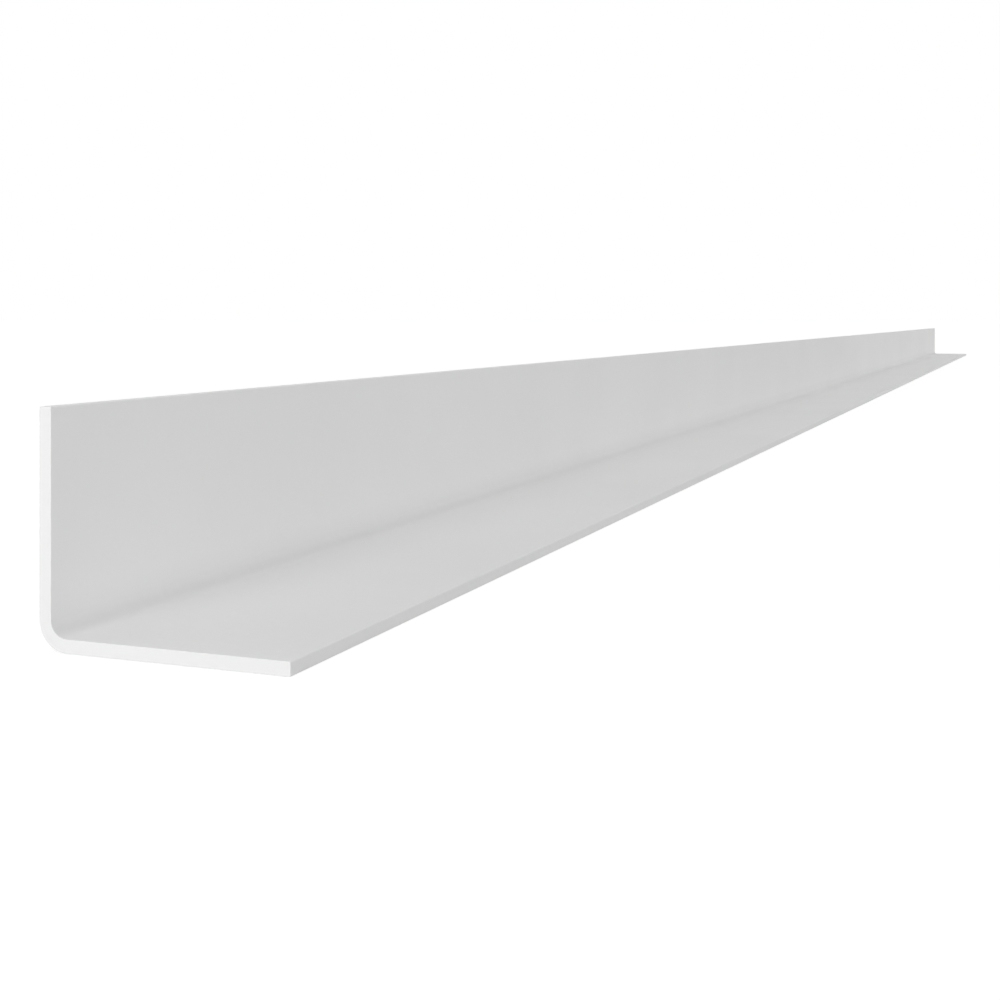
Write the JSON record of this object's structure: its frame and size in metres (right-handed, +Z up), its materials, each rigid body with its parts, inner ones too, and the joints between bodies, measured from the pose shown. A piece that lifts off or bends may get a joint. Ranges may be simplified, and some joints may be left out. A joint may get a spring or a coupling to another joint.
{
  "type": "l-shaped corner profile",
  "caption": "Straight L-shaped corner profile bent from one white-coated steel sheet, with unequal legs, a rounded bend and square-cut ends, for lining, covering or joining an edge.",
  "frame": {"origin": "on the floor under the base leg, midway along the stock and midway across the base leg", "axes": "+X along the stock, +Y across the base leg towards the upright leg, +Z up the upright leg"},
  "size_m": [3, 0.07, 0.06],
  "materials": {
    "white_coat": "satin white powder coat on bent steel sheet"
  },
  "bodies": {
    "root": {"corner_profile": "white_coat"}
  },
  "joints": []
}
